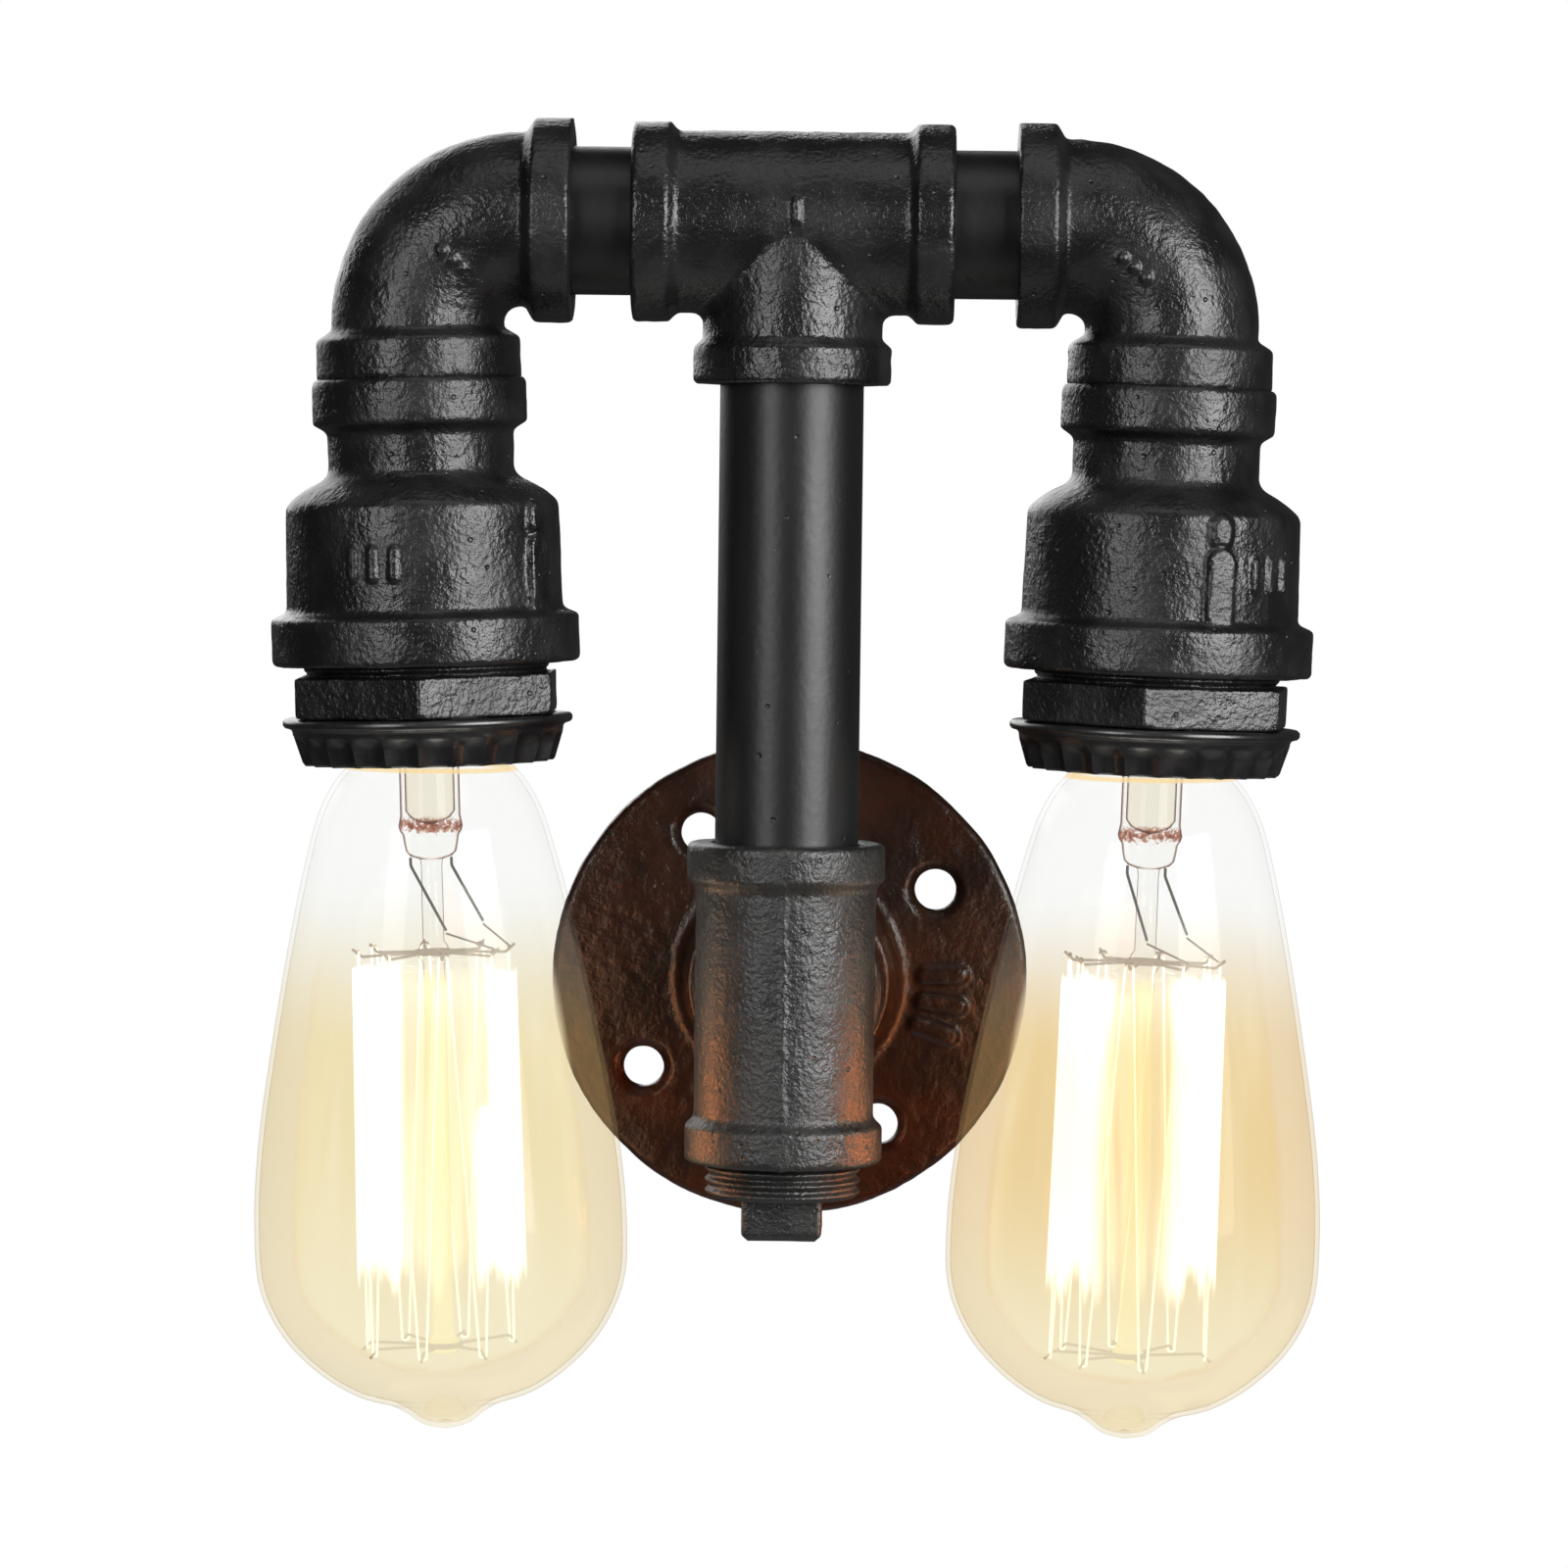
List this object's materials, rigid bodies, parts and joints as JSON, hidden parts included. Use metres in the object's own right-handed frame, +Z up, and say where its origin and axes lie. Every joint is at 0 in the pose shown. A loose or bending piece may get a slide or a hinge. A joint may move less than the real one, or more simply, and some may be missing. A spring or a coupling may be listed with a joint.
{
  "type": "industrial pipe wall light",
  "caption": "Black pipe-fitting wall light: round wall flange, upright riser and swivelling elbow arms that hold bare squirrel-cage bulbs pointing down.",
  "frame": {"origin": "centre of the wall flange's back face, on the wall", "axes": "+X right along the top run as seen from the front, +Y into the wall, +Z up along the riser"},
  "size_m": [0.1828, 0.0841, 0.2248],
  "materials": {
    "black_iron": "semi-gloss black enamel over cast iron",
    "black_pipe": "satin black enamel on steel tube",
    "black_moulding": "black moulded thermoset",
    "cable_sheath": "matt black sheath",
    "core_insulation": "brown insulation",
    "brass": "bright brass",
    "amber_glass": "clear glass at the neck turning pale amber",
    "clear_glass": "clear glass",
    "bright_cap": "bright rolled cap",
    "solder": "dull solder",
    "hook_wire": "fine browned wire",
    "glowing_filament": "fine carbon coloured wire, glowing"
  },
  "bodies": {
    "frame": {"wall_flange": "black_iron", "back_nipple": "black_pipe", "lower_tee": "black_iron", "bottom_plug": "black_iron", "riser_pipe": "black_pipe", "top_tee": "black_iron", "left_run_nipple": "black_pipe", "left_feed_cable": "cable_sheath", "left_feed_cores": "core_insulation", "right_run_nipple": "black_pipe", "right_feed_cable": "cable_sheath", "right_feed_cores": "core_insulation"},
    "left_arm": {"left_elbow": "black_iron", "left_close_nipple": "black_pipe", "left_reducer": "black_iron", "left_hex_bush": "black_iron", "left_holder_body": "black_moulding", "left_screw_shell": "brass", "left_centre_contact": "brass", "left_terminals": "brass", "left_shade_ring": "black_moulding", "left_arm_cable": "cable_sheath", "left_arm_cores": "core_insulation"},
    "left_bulb": {"left_bulb_glass": "amber_glass", "left_bulb_cap": "bright_cap", "left_cap_insulator": "black_moulding", "left_cap_contact": "solder", "left_bulb_stem": "clear_glass", "left_upper_hooks": "hook_wire", "left_lower_hooks": "hook_wire", "left_lead_wires": "hook_wire", "left_filament": "glowing_filament"},
    "right_arm": {"right_elbow": "black_iron", "right_close_nipple": "black_pipe", "right_reducer": "black_iron", "right_hex_bush": "black_iron", "right_holder_body": "black_moulding", "right_screw_shell": "brass", "right_centre_contact": "brass", "right_terminals": "brass", "right_shade_ring": "black_moulding", "right_arm_cable": "cable_sheath", "right_arm_cores": "core_insulation"},
    "right_bulb": {"right_bulb_glass": "amber_glass", "right_bulb_cap": "bright_cap", "right_cap_insulator": "black_moulding", "right_cap_contact": "solder", "right_bulb_stem": "clear_glass", "right_upper_hooks": "hook_wire", "right_lower_hooks": "hook_wire", "right_lead_wires": "hook_wire", "right_filament": "glowing_filament"}
  },
  "joints": [
    {"name": "left_arm_swivel", "type": "hinge", "parent": "frame", "child": "left_arm", "pos_m": [-0.0425, -0.052, 0.133], "axis": [-1, 0, 0], "range_deg": [-4, 90]},
    {"name": "left_bulb_out", "type": "slide", "parent": "left_arm", "child": "left_bulb", "axis": [0.0349, 0, -0.9994], "range_m": [0, 0.045]},
    {"name": "right_arm_swivel", "type": "hinge", "parent": "frame", "child": "right_arm", "pos_m": [0.0425, -0.052, 0.133], "axis": [-1, 0, 0], "range_deg": [-4, 90]},
    {"name": "right_bulb_out", "type": "slide", "parent": "right_arm", "child": "right_bulb", "axis": [-0.0279, 0, -0.9996], "range_m": [0, 0.045]}
  ]
}
